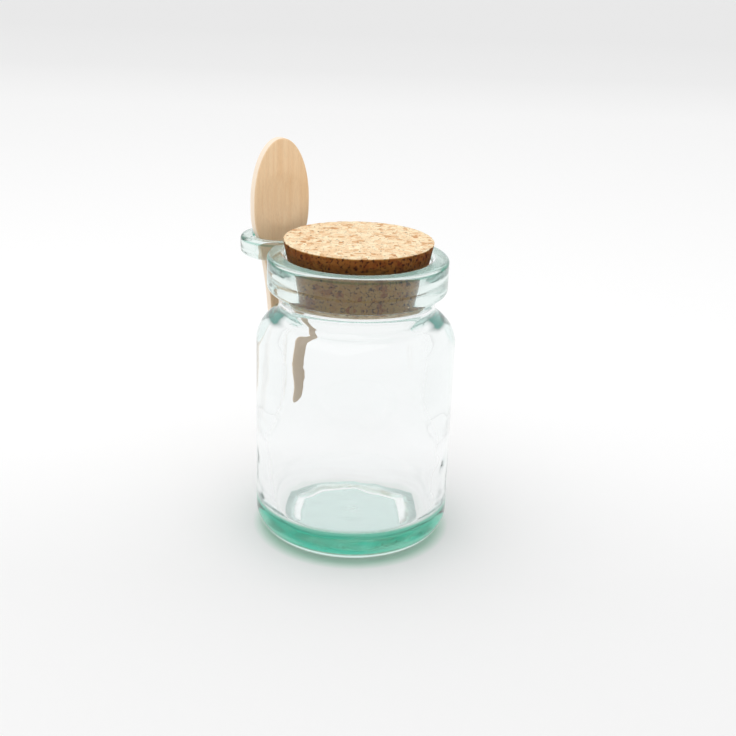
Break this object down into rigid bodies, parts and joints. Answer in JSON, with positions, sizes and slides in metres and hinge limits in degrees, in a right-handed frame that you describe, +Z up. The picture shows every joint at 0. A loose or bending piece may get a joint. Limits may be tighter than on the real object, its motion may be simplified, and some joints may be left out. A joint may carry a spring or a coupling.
{
  "type": "glass jar with cork stopper and spoon",
  "caption": "Thick glass storage jar with a wide neck and collar, a tapered cork stopper, and a wooden spoon held in a loop on the side of the collar.",
  "frame": {"origin": "on the axis of the jar, in the plane of the foot ring that it stands on", "axes": "+Z up along the jar's axis; the spoon loop is on -X; +Y completes the right-handed frame"},
  "size_m": [0.0961, 0.076, 0.1486],
  "materials": {
    "green_glass": "clear recycled glass with a green tint that deepens where it is thick",
    "cork": "matt agglomerated cork, cut and sanded",
    "pale_wood": "smooth sanded unfinished wood"
  },
  "bodies": {
    "jar": {"glass_jar": "green_glass"},
    "cork": {"cork_stopper": "cork"},
    "spoon": {"wooden_spoon": "pale_wood"}
  },
  "joints": [
    {"name": "cork_lift", "type": "slide", "parent": "jar", "child": "cork", "axis": [0, 0, 1], "range_m": [0, 0.03]},
    {"name": "spoon_lift", "type": "slide", "parent": "jar", "child": "spoon", "axis": [0, 0, 1], "range_m": [0, 0.075]}
  ]
}
